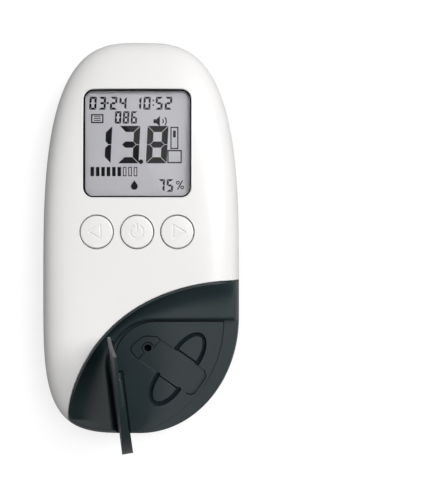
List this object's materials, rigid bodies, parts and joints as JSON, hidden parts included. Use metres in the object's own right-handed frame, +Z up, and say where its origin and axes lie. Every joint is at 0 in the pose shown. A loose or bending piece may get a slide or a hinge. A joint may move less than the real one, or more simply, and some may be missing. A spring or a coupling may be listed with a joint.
{
  "type": "hemoglobin meter",
  "caption": "Hand-held blood hemoglobin meter: white rounded housing with a display, three buttons, a dark scooped cuvette bay and its lid standing open.",
  "frame": {"origin": "on the table under the middle of the housing, at the level of the feet", "axes": "+X to the right of the display, +Y along the housing to the display end, +Z up out of the display"},
  "size_m": [0.066, 0.1333, 0.0609],
  "materials": {
    "white_abs": "gloss",
    "dark_abs": "satin",
    "black_foam": "matte",
    "steel": "bright nickel plating",
    "clear_lens": "clear, gloss",
    "lcd_glass": "grey reflective, with black segments",
    "white_frame": "matte",
    "pink_rubber": "matte",
    "circuit_board": "green solder mask",
    "black_plastic": "matte",
    "grey_silicone": "matte",
    "gold_plate": "bright",
    "white_film": "satin",
    "dark_glass": "gloss",
    "clear_epoxy": "gloss",
    "cell_jacket": "satin film jacket",
    "black_rubber": "matte"
  },
  "bodies": {
    "housing": {"front_shell": "white_abs", "rear_shell": "white_abs", "bay_housing": "dark_abs", "stage_plate": "dark_abs", "cuvette_locator": "dark_abs", "hinge_bracket": "dark_abs", "lens_gasket": "black_foam", "hinge_pin": "steel", "housing_screws": "steel", "board_screws": "steel", "battery_springs": "steel", "battery_contacts": "steel", "display_lens": "clear_lens", "lcd_glass": "lcd_glass", "lcd_frame": "white_frame", "zebra_strips": "pink_rubber", "main_board": "circuit_board", "optics_board": "circuit_board", "controller_chip": "black_plastic", "buzzer": "black_plastic", "optics_block": "black_plastic", "key_membrane": "grey_silicone", "key_domes": "gold_plate", "board_cable": "white_film", "optics_window": "dark_glass", "emitter": "clear_epoxy", "photodiode": "dark_glass", "battery_cells": "cell_jacket", "rubber_feet": "black_rubber"},
    "back_button": {"button_back": "white_abs"},
    "power_button": {"button_power": "white_abs"},
    "next_button": {"button_next": "white_abs"},
    "lid": {"bay_lid": "dark_abs", "lid_seal": "black_foam"},
    "door": {"battery_door": "white_abs"}
  },
  "joints": [
    {"name": "back_press", "type": "slide", "parent": "housing", "child": "back_button", "axis": [0, 0, -1], "range_m": [0, 0.0008], "stiffness_N_per_m": 500, "springref_m": -0.0002},
    {"name": "power_press", "type": "slide", "parent": "housing", "child": "power_button", "axis": [0, 0, -1], "range_m": [0, 0.0008], "stiffness_N_per_m": 500, "springref_m": -0.0002},
    {"name": "next_press", "type": "slide", "parent": "housing", "child": "next_button", "axis": [0, 0, -1], "range_m": [0, 0.0008], "stiffness_N_per_m": 500, "springref_m": -0.0002},
    {"name": "lid_hinge", "type": "hinge", "parent": "housing", "child": "lid", "pos_m": [-0.00553, -0.05341, 0.0204], "axis": [0.1253, -0.9921, 0], "range_deg": [-80, 10]},
    {"name": "door_slide", "type": "slide", "parent": "housing", "child": "door", "axis": [0, 1, 0], "range_m": [0, 0.008]}
  ]
}
